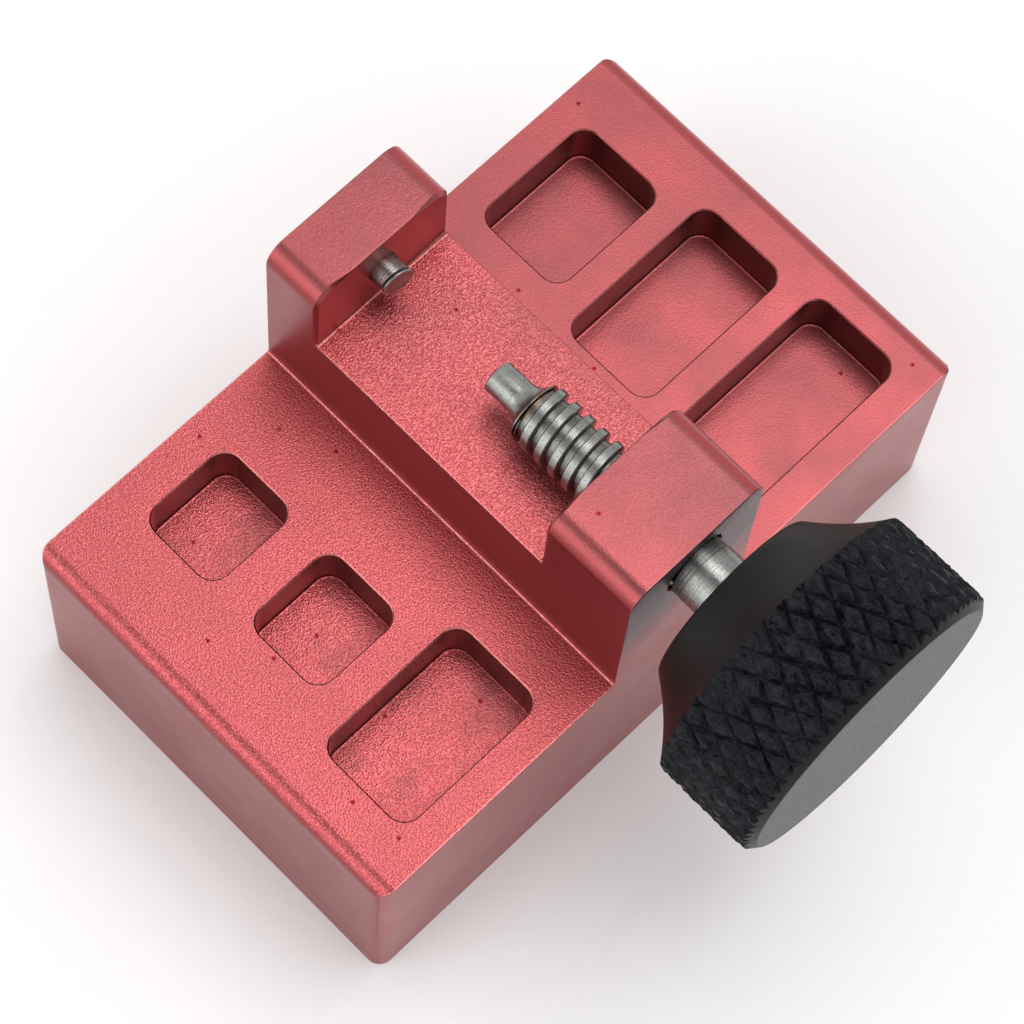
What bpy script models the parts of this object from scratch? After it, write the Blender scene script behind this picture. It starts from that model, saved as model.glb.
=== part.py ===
"""Watch movement holder: a milled block with a fixed pin, and a screw that drives a swivelling nose.

Frame: the origin is the centre of the block's underside, +X runs along the screw towards the knob,
+Y points to the deck with the longer pockets and +Z is up. Every size is in metres.
"""

import math

import bmesh
import bpy

# Block, milled from one bar of aluminium.
BLOCK_LENGTH = 0.0430
BLOCK_WIDTH = 0.0706
DECK_HEIGHT = 0.0230
LONG_EDGE_RADIUS = 0.0017
CORNER_RADIUS = 0.0014
RIB_WIDTH = 0.0156
RIB_RISE = 0.0109
POST_EDGE_RADIUS = 0.0021
PIN_POST_THICKNESS = 0.0061
SCREW_POST_THICKNESS = 0.0099
SCREW_AXIS_RISE = 0.0045
POST_CROWN = 0.0047

# Counterbore in the outer face of the thick post, which lets the plain shank follow the thread in.
COUNTERBORE_GAP = 0.0002
COUNTERBORE_SPARE_DEPTH = 0.0006

# Pockets for small parts: (length along X, width along Y) in each deck, from the pin end.
POCKET_COLUMN_PITCH = 0.0131
POCKET_DEPTH = 0.0053
POCKET_CORNER_RADIUS = 0.00175
SHORT_DECK_POCKETS = [(0.0088, 0.0099), (0.0088, 0.0099), (0.0102, 0.0163)]
LONG_DECK_POCKETS = [(0.0100, 0.0135), (0.0100, 0.0179), (0.0100, 0.0198)]

# Fixed pin, pressed through the thin post, with a groove behind its lip and a slanted end.
PIN_RADIUS = 0.0015
PIN_PROTRUSION = 0.0022
PIN_LIP_LENGTH = 0.0002
PIN_LIP_RADIUS = 0.0016
PIN_GROOVE_LENGTH = 0.00025
PIN_GROOVE_DEPTH = 0.00025
PIN_END_SLANT = 0.14

# Nose, which swivels in the end of the screw so that the movement isn't twisted.
JAW_OPENING = 0.0115
NOSE_TIP_RADIUS = 0.00155
NOSE_TIP_LENGTH = 0.0026
NOSE_FLARE_RADIUS = 0.0019
NOSE_FLANGE_RADIUS = 0.0028
NOSE_FLANGE_THICKNESS = 0.00014
NOSE_EDGE_BREAK = 0.00015
SPIGOT_RADIUS = 0.0013
SPIGOT_LENGTH = 0.0042
RING_GROOVE_SETBACK = 0.0022
RING_GROOVE_WIDTH = 0.0006
RING_WIRE_RADIUS = 0.00024
RING_OPEN_ANGLE = math.radians(50)
RING_BITE = 0.00035

# Screw with a nearly square right-hand thread, which turns in the tapped thick post.
THREAD_RADIUS = 0.0030
THREAD_PITCH = 0.00162
THREAD_DEPTH = 0.0006
THREAD_CREST = 0.00086
THREAD_FLANK_ANGLE = math.radians(10)
THREAD_START = 0.0002
LAST_CREST = 0.00013
THREAD_COLLAR_STEP = 0.0003
SHOULDER_GAP = 0.0003
RELIEF_LENGTH = 0.00075
RELIEF_DEPTH = 0.00007
SHANK_IN_KNOB = 0.0110

# Knob, turned with a hollowed hub and a wide knurled grip.
HUB_GAP = 0.0042
HUB_RADIUS = 0.0086
HUB_LENGTH = 0.0057
HUB_COVE_RADIUS = 0.0220
KNOB_RADIUS = 0.01415
GRIP_LENGTH = 0.0092
KNOB_CHAMFER_LENGTH = 0.0008
KNOB_CHAMFER_DEPTH = 0.00095

# Clearances between pieces that fit together.
PRESS_GAP = 0.00003
RUNNING_GAP = 0.00006
THREAD_RADIAL_GAP = 0.0001
THREAD_AXIAL_GAP = 0.00008
SWIVEL_GAP = 0.00008
END_GAP = 0.0003
HOLE_CHAMFER = 0.0003
CUTTER_OVERRUN = 0.0005

# Fineness of the round shapes.
THREAD_STEPS = 24
SMALL_STEPS = 28
KNOB_STEPS = 64
FILLET_STEPS = 4
ARC_STEPS = 6
WIRE_STEPS = 8
MERGE_DISTANCE = 1e-6
SMOOTH_ANGLE = math.radians(35)

# Heights of the rib, the screw's axis and the posts, each a rise above the one before.
RIB_HEIGHT = DECK_HEIGHT + RIB_RISE
SCREW_AXIS_HEIGHT = RIB_HEIGHT + SCREW_AXIS_RISE
POST_HEIGHT = SCREW_AXIS_HEIGHT + POST_CROWN

# Places along X that several pieces share.
PIN_FACE_X = PIN_POST_THICKNESS - BLOCK_LENGTH / 2
POST_INNER_X = BLOCK_LENGTH / 2 - SCREW_POST_THICKNESS
POST_OUTER_X = BLOCK_LENGTH / 2
COUNTERBORE_RADIUS = THREAD_RADIUS + COUNTERBORE_GAP
TAP_END_X = POST_OUTER_X - HUB_GAP - COUNTERBORE_SPARE_DEPTH
PIN_TIP_X = PIN_FACE_X + PIN_PROTRUSION
NOSE_TIP_X = PIN_TIP_X + JAW_OPENING
FLARE_RISE = NOSE_FLANGE_RADIUS - NOSE_TIP_RADIUS
FLARE_ANGLE = math.acos(1 - FLARE_RISE / NOSE_FLARE_RADIUS)
FLARE_LENGTH = NOSE_FLARE_RADIUS * math.sin(FLARE_ANGLE)
NOSE_SEAT_X = NOSE_TIP_X + NOSE_TIP_LENGTH + FLARE_LENGTH + NOSE_FLANGE_THICKNESS
SPINDLE_FRONT_X = NOSE_SEAT_X + SWIVEL_GAP
RING_X = SPINDLE_FRONT_X + RING_GROOVE_SETBACK
CREST_START_X = SPINDLE_FRONT_X + THREAD_START
RUN_OUT_X = POST_OUTER_X + SHOULDER_GAP
HUB_FACE_X = POST_OUTER_X + HUB_GAP
BORE_RADIUS = SPIGOT_RADIUS + RUNNING_GAP
COLLAR_RADIUS = THREAD_RADIUS - THREAD_COLLAR_STEP
RELIEF_RADIUS = THREAD_RADIUS - RELIEF_DEPTH
SHANK_RADIUS = THREAD_RADIUS


def clear_scene():
    """Start from an empty scene."""
    for scene_object in list(bpy.data.objects):
        bpy.data.objects.remove(scene_object, do_unlink=True)


def make_material(name, colour, metallic, roughness):
    """One Principled finish."""
    material = bpy.data.materials.new(name)
    material.use_nodes = True
    shader = material.node_tree.nodes["Principled BSDF"]
    shader.inputs["Base Color"].default_value = (*colour, 1.0)
    shader.inputs["Metallic"].default_value = metallic
    shader.inputs["Roughness"].default_value = roughness
    return material


def add_piece(name, shape, material=None, height=0.0):
    """Turn a bmesh into a named object, standing at a height above the origin."""
    bmesh.ops.recalc_face_normals(shape, faces=shape.faces)
    mesh = bpy.data.meshes.new(name)
    shape.to_mesh(mesh)
    shape.free()
    mesh.shade_smooth()
    mesh.set_sharp_from_angle(angle=SMOOTH_ANGLE)
    piece = bpy.data.objects.new(name, mesh)
    piece.location = (0.0, 0.0, height)
    bpy.context.scene.collection.objects.link(piece)
    if material:
        mesh.materials.append(material)
    return piece


def add_cutter(name, shape, height=0.0):
    """A solid that only cuts, kept out of the finished model."""
    cutter = add_piece(name, shape, height=height)
    cutter.hide_render = True
    cutter.display_type = "WIRE"
    return cutter


def cut(piece, cutter):
    """Subtract a cutter from a piece."""
    modifier = piece.modifiers.new(cutter.name, "BOOLEAN")
    modifier.operation = "DIFFERENCE"
    modifier.solver = "EXACT"
    modifier.object = cutter


def turned(outline, steps):
    """Solid of revolution round the X axis, from (x, radius) points that run from axis to axis."""
    shape = bmesh.new()
    points = [shape.verts.new((x, radius, 0.0)) for x, radius in outline]
    edges = [shape.edges.new(pair) for pair in zip(points, points[1:])]
    bmesh.ops.spin(shape, geom=points + edges, cent=(0, 0, 0), axis=(1, 0, 0),
                   angle=2 * math.pi, steps=steps, use_merge=True)
    bmesh.ops.remove_doubles(shape, verts=shape.verts, dist=MERGE_DISTANCE)
    return shape


def helical_bar(section, turns):
    """Closed bar whose (x, radius) section, at +Y, climbs along X as a right-hand helix."""
    shape = bmesh.new()
    face = shape.faces.new([shape.verts.new((x, radius, 0.0)) for x, radius in section])
    step_count = math.ceil(turns * THREAD_STEPS)
    bmesh.ops.spin(shape, geom=[face], cent=(0, 0, 0), axis=(1, 0, 0),
                   dvec=(THREAD_PITCH / THREAD_STEPS, 0, 0),
                   angle=2 * math.pi * step_count / THREAD_STEPS, steps=step_count)
    return shape


def arc(centre_x, centre_radius, radius, start_angle, end_angle):
    """Outline points on a circle, both ends included, with angles measured from +X."""
    points = []
    for step in range(ARC_STEPS + 1):
        angle = start_angle + (end_angle - start_angle) * step / ARC_STEPS
        points.append((centre_x + radius * math.cos(angle), centre_radius + radius * math.sin(angle)))
    return points


def bevel_edges(shape, radius, is_wanted):
    """Round the edges whose two end points both satisfy a test."""
    edges = [edge for edge in shape.edges if is_wanted(edge.verts[0].co, edge.verts[1].co)]
    bmesh.ops.bevel(shape, geom=edges, offset=radius, segments=FILLET_STEPS, profile=0.5,
                    affect="EDGES", clamp_overlap=True)


def same(value, target):
    """True for two lengths that are equal but for rounding."""
    return abs(value - target) < MERGE_DISTANCE


def raise_faces(shape, start_height, end_height, is_wanted):
    """Extrude the horizontal faces at one height, chosen by their centre, up to another."""
    faces = [face for face in shape.faces
             if same(face.calc_center_median().z, start_height) and is_wanted(face.calc_center_median())]
    grown = bmesh.ops.extrude_face_region(shape, geom=faces)["geom"]
    bmesh.ops.delete(shape, geom=faces, context="FACES_ONLY")
    tops = [item for item in grown if isinstance(item, bmesh.types.BMVert)]
    bmesh.ops.translate(shape, verts=tops, vec=(0, 0, end_height - start_height))


def block_shape():
    """Deck slab with a rib along its middle and a post at each end of the rib."""
    columns = [-BLOCK_LENGTH / 2, PIN_FACE_X, POST_INNER_X, BLOCK_LENGTH / 2]
    rows = [-BLOCK_WIDTH / 2, -RIB_WIDTH / 2, RIB_WIDTH / 2, BLOCK_WIDTH / 2]
    shape = bmesh.new()
    grid = [[shape.verts.new((x, y, 0.0)) for x in columns] for y in rows]
    for lower, upper in zip(grid, grid[1:]):
        for i in range(len(columns) - 1):
            shape.faces.new((lower[i], lower[i + 1], upper[i + 1], upper[i]))
    base = bmesh.ops.extrude_face_region(shape, geom=shape.faces[:])["geom"]
    tops = [item for item in base if isinstance(item, bmesh.types.BMVert)]
    bmesh.ops.translate(shape, verts=tops, vec=(0, 0, DECK_HEIGHT))
    raise_faces(shape, DECK_HEIGHT, RIB_HEIGHT, lambda centre: abs(centre.y) < RIB_WIDTH / 2)
    raise_faces(shape, RIB_HEIGHT, POST_HEIGHT,
                lambda centre: not PIN_FACE_X < centre.x < POST_INNER_X)
    return shape


def round_block(shape):
    """Round the long top edges of the decks and the tops of the posts, from end to end."""
    def long_edge(a, b):
        return all(same(end.z, DECK_HEIGHT) and same(abs(end.y), BLOCK_WIDTH / 2) for end in (a, b))

    def post_edge(a, b):
        return (same(a.z, POST_HEIGHT) and same(b.z, POST_HEIGHT)
                and same(abs(a.y), RIB_WIDTH / 2) and same(a.y, b.y))

    bevel_edges(shape, POST_EDGE_RADIUS, post_edge)
    bevel_edges(shape, LONG_EDGE_RADIUS, long_edge)


def corner_cutter_shape():
    """Upright prisms that leave the block's four corners round, outside a quarter circle each."""
    shape = bmesh.new()
    edge_x = BLOCK_LENGTH / 2
    edge_y = BLOCK_WIDTH / 2
    outside = CORNER_RADIUS + CUTTER_OVERRUN
    for side_x, side_y in ((1, 1), (-1, 1), (-1, -1), (1, -1)):
        centre_x = side_x * (edge_x - CORNER_RADIUS)
        centre_y = side_y * (edge_y - CORNER_RADIUS)
        outline = [(centre_x, centre_y + side_y * outside),
                   (centre_x + side_x * outside, centre_y + side_y * outside),
                   (centre_x + side_x * outside, centre_y)]
        for step in range(FILLET_STEPS + 1):
            angle = math.pi / 2 * step / FILLET_STEPS
            outline.append((centre_x + side_x * CORNER_RADIUS * math.cos(angle),
                            centre_y + side_y * CORNER_RADIUS * math.sin(angle)))
        face = shape.faces.new([shape.verts.new((x, y, -CUTTER_OVERRUN)) for x, y in outline])
        grown = bmesh.ops.extrude_face_region(shape, geom=[face], use_keep_orig=True)["geom"]
        tops = [item for item in grown if isinstance(item, bmesh.types.BMVert)]
        bmesh.ops.translate(shape, verts=tops, vec=(0, 0, DECK_HEIGHT + 2 * CUTTER_OVERRUN))
    return shape


def pocket_cutter():
    """Round-cornered prisms for the pockets, in a row along the middle of each deck."""
    shape = bmesh.new()
    deck_middle = (RIB_WIDTH + BLOCK_WIDTH) / 4
    height = POCKET_DEPTH + CUTTER_OVERRUN
    for side, sizes in ((-1, SHORT_DECK_POCKETS), (1, LONG_DECK_POCKETS)):
        for column, (length, width) in enumerate(sizes):
            prism = bmesh.ops.create_cube(shape, size=1.0)["verts"]
            bmesh.ops.scale(shape, verts=prism, vec=(length, width, height))
            bmesh.ops.translate(shape, verts=prism, vec=(
                (column - 1) * POCKET_COLUMN_PITCH, side * deck_middle,
                DECK_HEIGHT - POCKET_DEPTH + height / 2))
    bevel_edges(shape, POCKET_CORNER_RADIUS,
                lambda a, b: same(a.x, b.x) and same(a.y, b.y))
    return shape


def pin_hole_shape():
    """Plain hole right through the thin post."""
    radius = PIN_RADIUS + PRESS_GAP
    start = -BLOCK_LENGTH / 2 - CUTTER_OVERRUN
    end = PIN_FACE_X + CUTTER_OVERRUN
    return turned([(start, 0), (start, radius), (end, radius), (end, 0)], SMALL_STEPS)


def screw_hole_shape():
    """Core hole of the tapped thick post, chamfered inside and counterbored from outside."""
    radius = THREAD_RADIUS - THREAD_DEPTH + THREAD_RADIAL_GAP
    start = POST_INNER_X - CUTTER_OVERRUN
    end = POST_OUTER_X + CUTTER_OVERRUN
    flare = HOLE_CHAMFER + CUTTER_OVERRUN
    return turned([(start, 0), (start, radius + flare), (start + flare, radius), (TAP_END_X, radius),
                   (TAP_END_X, COUNTERBORE_RADIUS), (end, COUNTERBORE_RADIUS), (end, 0)], THREAD_STEPS)


def tap_shape():
    """Helical bar that cuts the inner thread, in step with the screw's crest at rest."""
    outer = THREAD_RADIUS + THREAD_RADIAL_GAP
    inner = THREAD_RADIUS - THREAD_DEPTH - THREAD_RADIAL_GAP
    slope = math.tan(THREAD_FLANK_ANGLE)
    turns_before = math.floor((POST_INNER_X - CREST_START_X) / THREAD_PITCH) - 1
    middle = CREST_START_X + THREAD_CREST / 2 + turns_before * THREAD_PITCH
    half_outer = THREAD_CREST / 2 + THREAD_AXIAL_GAP - THREAD_RADIAL_GAP * slope
    half_inner = half_outer + (outer - inner) * slope
    section = [(middle - half_inner, inner), (middle - half_outer, outer),
               (middle + half_outer, outer), (middle + half_inner, inner)]
    return helical_bar(section, (TAP_END_X - middle) / THREAD_PITCH + 1)


def make_block(material):
    """The body that carries everything: rib, posts and pockets are one piece of metal."""
    shape = block_shape()
    round_block(shape)
    block = add_piece("block", shape, material)
    cut(block, add_cutter("corner_cutter", corner_cutter_shape()))
    cut(block, add_cutter("pocket_cutter", pocket_cutter()))
    cut(block, add_cutter("pin_hole_cutter", pin_hole_shape(), SCREW_AXIS_HEIGHT))
    cut(block, add_cutter("screw_hole_cutter", screw_hole_shape(), SCREW_AXIS_HEIGHT))
    cut(block, add_cutter("tap_cutter", tap_shape(), SCREW_AXIS_HEIGHT))


def make_fixed_pin(material):
    """Steel pin pressed through the thin post, flush outside, with its end slanted across Y."""
    groove_end = PIN_TIP_X - PIN_LIP_LENGTH
    groove_start = groove_end - PIN_GROOVE_LENGTH
    groove_radius = PIN_RADIUS - PIN_GROOVE_DEPTH
    start = -BLOCK_LENGTH / 2
    outline = [(start, 0), (start, PIN_RADIUS), (groove_start, PIN_RADIUS), (groove_start, groove_radius),
               (groove_end, groove_radius), (groove_end, PIN_LIP_RADIUS),
               (PIN_TIP_X, PIN_LIP_RADIUS), (PIN_TIP_X, 0)]
    shape = turned(outline, SMALL_STEPS)
    for vertex in shape.verts:
        if vertex.co.x > groove_start - MERGE_DISTANCE:
            vertex.co.x += PIN_END_SLANT * (vertex.co.y - PIN_LIP_RADIUS)
    add_piece("fixed_pin", shape, material, SCREW_AXIS_HEIGHT)


def make_nose(material):
    """Slim tip that flares to a thin flange, with a spigot that turns in the screw's bore."""
    flare_x = NOSE_TIP_X + NOSE_TIP_LENGTH
    flange_x = flare_x + FLARE_LENGTH
    groove_start = RING_X - RING_GROOVE_WIDTH / 2
    groove_end = RING_X + RING_GROOVE_WIDTH / 2
    groove_radius = SPIGOT_RADIUS - RING_BITE
    outline = [(NOSE_TIP_X, 0), (NOSE_TIP_X, NOSE_TIP_RADIUS - NOSE_EDGE_BREAK),
               (NOSE_TIP_X + NOSE_EDGE_BREAK, NOSE_TIP_RADIUS)]
    outline += arc(flare_x, NOSE_TIP_RADIUS + NOSE_FLARE_RADIUS, NOSE_FLARE_RADIUS,
                   -math.pi / 2, FLARE_ANGLE - math.pi / 2)
    outline += [(flange_x + NOSE_FLANGE_THICKNESS, NOSE_FLANGE_RADIUS),
                (flange_x + NOSE_FLANGE_THICKNESS, SPIGOT_RADIUS),
                (groove_start, SPIGOT_RADIUS), (groove_start, groove_radius),
                (groove_end, groove_radius), (groove_end, SPIGOT_RADIUS),
                (NOSE_SEAT_X + SPIGOT_LENGTH, SPIGOT_RADIUS), (NOSE_SEAT_X + SPIGOT_LENGTH, 0)]
    add_piece("nose", turned(outline, SMALL_STEPS), material, SCREW_AXIS_HEIGHT)


def make_nose_ring(material):
    """Open wire ring, half in the spigot's groove and half in the screw's, that keeps the nose in."""
    shape = bmesh.new()
    centre_radius = (SPIGOT_RADIUS + BORE_RADIUS) / 2
    section = []
    for step in range(WIRE_STEPS):
        angle = 2 * math.pi * step / WIRE_STEPS
        section.append(shape.verts.new((RING_X + RING_WIRE_RADIUS * math.cos(angle),
                                        centre_radius + RING_WIRE_RADIUS * math.sin(angle), 0.0)))
    face = shape.faces.new(section)
    bmesh.ops.spin(shape, geom=[face], cent=(0, 0, 0), axis=(1, 0, 0),
                   angle=2 * math.pi - RING_OPEN_ANGLE, steps=SMALL_STEPS)
    add_piece("nose_ring", shape, material, SCREW_AXIS_HEIGHT)


def thread_groove_shape():
    """Helical bar that cuts the groove of the screw, from before its front end to the run-out."""
    outer = THREAD_RADIUS + THREAD_RADIAL_GAP
    inner = THREAD_RADIUS - THREAD_DEPTH
    slope = math.tan(THREAD_FLANK_ANGLE)
    half_crest_gap = (THREAD_PITCH - THREAD_CREST) / 2
    middle = CREST_START_X - THREAD_PITCH - half_crest_gap
    half_outer = half_crest_gap + THREAD_RADIAL_GAP * slope
    half_inner = half_crest_gap - THREAD_DEPTH * slope
    section = [(middle - half_inner, inner), (middle - half_outer, outer),
               (middle + half_outer, outer), (middle + half_inner, inner)]
    return helical_bar(section, (RUN_OUT_X - LAST_CREST - half_crest_gap - middle) / THREAD_PITCH)


def make_spindle(material):
    """Screw: a bored front end for the nose, the thread, a short relief and a plain shank."""
    bore_end = NOSE_SEAT_X + SPIGOT_LENGTH + END_GAP
    groove_radius = BORE_RADIUS + RING_BITE
    groove_start = RING_X - RING_GROOVE_WIDTH / 2
    groove_end = RING_X + RING_GROOVE_WIDTH / 2
    shank_start = RUN_OUT_X + RELIEF_LENGTH
    shank_end = HUB_FACE_X + SHANK_IN_KNOB
    outline = [(bore_end, 0), (bore_end, BORE_RADIUS), (groove_end, BORE_RADIUS), (groove_end, groove_radius),
               (groove_start, groove_radius), (groove_start, BORE_RADIUS), (SPINDLE_FRONT_X, BORE_RADIUS),
               (SPINDLE_FRONT_X, COLLAR_RADIUS), (CREST_START_X, COLLAR_RADIUS),
               (CREST_START_X, THREAD_RADIUS), (RUN_OUT_X, THREAD_RADIUS), (RUN_OUT_X, RELIEF_RADIUS),
               (shank_start, RELIEF_RADIUS), (shank_start, SHANK_RADIUS),
               (shank_end, SHANK_RADIUS), (shank_end, 0)]
    spindle = add_piece("spindle", turned(outline, THREAD_STEPS), material, SCREW_AXIS_HEIGHT)
    cut(spindle, add_cutter("thread_cutter", thread_groove_shape(), SCREW_AXIS_HEIGHT))


def make_knob(material):
    """Knob with a blind bore that is pressed onto the shank."""
    bore_radius = SHANK_RADIUS + PRESS_GAP
    bore_end = HUB_FACE_X + SHANK_IN_KNOB + END_GAP
    grip_start = HUB_FACE_X + HUB_LENGTH
    grip_end = grip_start + GRIP_LENGTH
    rise = KNOB_RADIUS - HUB_RADIUS
    chord = math.hypot(HUB_LENGTH, rise)
    chord_angle = math.atan2(rise, HUB_LENGTH)
    half_sweep = math.asin(chord / (2 * HUB_COVE_RADIUS))
    start_angle = chord_angle - half_sweep - math.pi / 2
    centre_x = HUB_FACE_X - HUB_COVE_RADIUS * math.cos(start_angle)
    centre_radius = HUB_RADIUS - HUB_COVE_RADIUS * math.sin(start_angle)
    outline = [(bore_end, 0), (bore_end, bore_radius), (HUB_FACE_X, bore_radius)]
    outline += arc(centre_x, centre_radius, HUB_COVE_RADIUS, start_angle, start_angle + 2 * half_sweep)
    outline += [(grip_end, KNOB_RADIUS),
                (grip_end + KNOB_CHAMFER_LENGTH, KNOB_RADIUS - KNOB_CHAMFER_DEPTH),
                (grip_end + KNOB_CHAMFER_LENGTH, 0)]
    add_piece("knob", turned(outline, KNOB_STEPS), material, SCREW_AXIS_HEIGHT)


def build():
    """Make every piece of the holder in its place."""
    clear_scene()
    red = make_material("red_anodised_aluminium", (0.62, 0.06, 0.07), 0.6, 0.5)
    steel = make_material("turned_steel", (0.55, 0.55, 0.54), 1.0, 0.35)
    spring_steel = make_material("spring_steel", (0.35, 0.35, 0.36), 1.0, 0.4)
    black = make_material("black_anodised_aluminium", (0.02, 0.02, 0.024), 0.4, 0.45)
    make_block(red)
    make_fixed_pin(steel)
    make_nose(steel)
    make_nose_ring(spring_steel)
    make_spindle(steel)
    make_knob(black)


build()
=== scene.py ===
"""Finished look of the watch movement holder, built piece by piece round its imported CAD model."""

import math
import random

import bpy
from mathutils import Matrix, Vector


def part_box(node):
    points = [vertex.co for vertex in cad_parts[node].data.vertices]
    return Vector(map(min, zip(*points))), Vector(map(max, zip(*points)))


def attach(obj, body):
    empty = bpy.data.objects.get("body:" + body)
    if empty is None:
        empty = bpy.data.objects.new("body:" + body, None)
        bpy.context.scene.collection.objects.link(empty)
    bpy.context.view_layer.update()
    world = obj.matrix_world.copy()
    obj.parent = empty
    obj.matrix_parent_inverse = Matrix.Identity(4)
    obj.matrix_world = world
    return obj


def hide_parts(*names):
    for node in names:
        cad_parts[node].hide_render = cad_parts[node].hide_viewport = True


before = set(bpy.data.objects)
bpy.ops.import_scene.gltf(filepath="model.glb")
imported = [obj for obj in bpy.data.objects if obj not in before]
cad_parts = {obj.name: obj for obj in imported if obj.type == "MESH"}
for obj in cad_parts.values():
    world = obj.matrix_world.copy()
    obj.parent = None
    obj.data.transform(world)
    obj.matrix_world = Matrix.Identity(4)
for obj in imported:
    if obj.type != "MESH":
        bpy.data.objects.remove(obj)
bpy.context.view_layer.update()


# ---------------------------------------------------------------- block
# One bar of aluminium, milled to two decks, a rib and two posts, with six pockets for small parts.
# It is bead-blasted and then dyed red in the anodising bath, which leaves its corners a little paler; a highlight
# is painted along its edges too, most of all on the small fillets at the foot of the walls.
block_low, block_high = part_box("block")
block_half_length = block_high.x
block_half_width = block_high.y
post_top = block_high.z
deck_top = 0.0230
rib_top = 0.0339
rib_half_width = 0.0078
pin_post_face = -0.0154
screw_post_face = 0.0116
axis_height = 0.0384

corner_radius = 0.0014
long_edge_radius = 0.0017
post_edge_radius = 0.0021
tool_radius = 0.00022
post_side_chamfer = 0.00034
edge_break = 0.00016


def deselect_all():
    for piece in bpy.context.selected_objects:
        piece.select_set(False)


def name_new_piece(name):
    piece = bpy.context.object
    piece.name = name
    piece.data.name = name
    return piece


def work_on(piece):
    """Make a piece the only one selected and active."""
    deselect_all()
    piece.select_set(True)
    bpy.context.view_layer.objects.active = piece


def bake_place(piece):
    """Put the piece's place into its mesh, so that its object sits unturned at the origin."""
    work_on(piece)
    bpy.ops.object.transform_apply(location=True, rotation=True, scale=True)


def select_edges(piece, wanted):
    """In edit mode, select the edges whose two end points both pass a test."""
    bpy.ops.object.mode_set(mode="EDIT")
    bpy.ops.mesh.select_mode(type="EDGE")
    bpy.ops.mesh.select_all(action="DESELECT")
    bpy.ops.object.mode_set(mode="OBJECT")
    for edge in piece.data.edges:
        ends = [piece.data.vertices[index].co for index in edge.vertices]
        edge.select = all(wanted(end) for end in ends)
    bpy.ops.object.mode_set(mode="EDIT")


def select_faces(piece, wanted):
    """In edit mode, select the faces whose centre and normal pass a test."""
    bpy.ops.object.mode_set(mode="EDIT")
    bpy.ops.mesh.select_mode(type="FACE")
    bpy.ops.mesh.select_all(action="DESELECT")
    bpy.ops.object.mode_set(mode="OBJECT")
    for face in piece.data.polygons:
        face.select = wanted(face.center, face.normal)
    bpy.ops.object.mode_set(mode="EDIT")


def near(value, target):
    return abs(value - target) < 1e-6


def bisect_all(point, normal):
    bpy.ops.mesh.select_all(action="SELECT")
    bpy.ops.mesh.bisect(plane_co=point, plane_no=normal)


def round_edges(piece, wanted, radius, segments, finish=-1):
    """Round or chamfer edges; the new faces may take a finish of their own."""
    select_edges(piece, wanted)
    bpy.ops.mesh.bevel(offset=radius, segments=segments, profile=0.5, affect="EDGES", clamp_overlap=False,
                       material=finish)
    bpy.ops.object.mode_set(mode="OBJECT")


def raise_tops(piece, start, end, wanted):
    select_faces(piece, lambda centre, normal: near(centre.z, start) and normal.z > 0.9 and wanted(centre))
    bpy.ops.mesh.extrude_region_move(TRANSFORM_OT_translate={"value": (0, 0, end - start)})
    bpy.ops.object.mode_set(mode="OBJECT")


deselect_all()
bpy.ops.mesh.primitive_cube_add(size=1, location=(0, 0, deck_top / 2),
                                scale=(2 * block_half_length, 2 * block_half_width, deck_top))
block = name_new_piece("red_block")
bake_place(block)
bpy.ops.object.material_slot_add()
bpy.ops.object.material_slot_add()
bpy.ops.object.mode_set(mode="EDIT")
for cut_y in (-rib_half_width, rib_half_width):
    bisect_all((0, cut_y, 0), (0, 1, 0))
for cut_x in (pin_post_face, screw_post_face):
    bisect_all((cut_x, 0, 0), (1, 0, 0))
raise_tops(block, deck_top, rib_top, lambda centre: abs(centre.y) < rib_half_width)
raise_tops(block, rib_top, post_top, lambda centre: not pin_post_face < centre.x < screw_post_face)

for side in (-1, 1):
    round_edges(block, lambda end: near(end.z, post_top) and near(end.y, side * rib_half_width), post_edge_radius, 8)
    round_edges(block, lambda end: near(end.z, deck_top) and near(end.y, side * block_half_width), long_edge_radius, 8)
    round_edges(block, lambda end: near(end.z, deck_top) and near(end.y, side * rib_half_width), tool_radius, 3, 1)
for post_face in (pin_post_face, screw_post_face):
    round_edges(block, lambda end: near(end.z, rib_top) and near(end.x, post_face), tool_radius, 3, 1)
    for side in (-1, 1):
        round_edges(block, lambda end: near(end.x, post_face) and end.z > rib_top - 1e-6
                    and side * end.y > rib_half_width - post_edge_radius - 1e-6, post_side_chamfer, 1)


def finish_modifier(piece, kind, **settings):
    """Add a modifier with its settings and apply it."""
    work_on(piece)
    modifier = piece.modifiers.new(kind.lower(), kind)
    for setting, value in settings.items():
        setattr(modifier, setting, value)
    bpy.ops.object.modifier_apply(modifier=modifier.name)


def combine(piece, other, operation):
    """Cut, join or trim a piece with another solid, which is used up."""
    finish_modifier(piece, "BOOLEAN", operation=operation, solver="EXACT", object=other)
    bpy.data.objects.remove(other)


for side_x in (-1, 1):
    for side_y in (-1, 1):
        corner = (side_x * (block_half_length - corner_radius), side_y * (block_half_width - corner_radius))
        waste = 2 * corner_radius
        bpy.ops.mesh.primitive_cube_add(size=waste, location=(corner[0] + side_x * waste / 2,
                                                              corner[1] + side_y * waste / 2, deck_top / 2))
        corner_cutter = name_new_piece("corner_cutter")
        corner_cutter.scale.z = (deck_top + waste) / waste
        bake_place(corner_cutter)
        bpy.ops.mesh.primitive_cylinder_add(vertices=48, radius=corner_radius, depth=deck_top + 2 * waste,
                                            location=(*corner, deck_top / 2))
        corner_round = name_new_piece("corner_round")
        bake_place(corner_round)
        combine(corner_cutter, corner_round, "DIFFERENCE")
        combine(block, corner_cutter, "DIFFERENCE")

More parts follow.
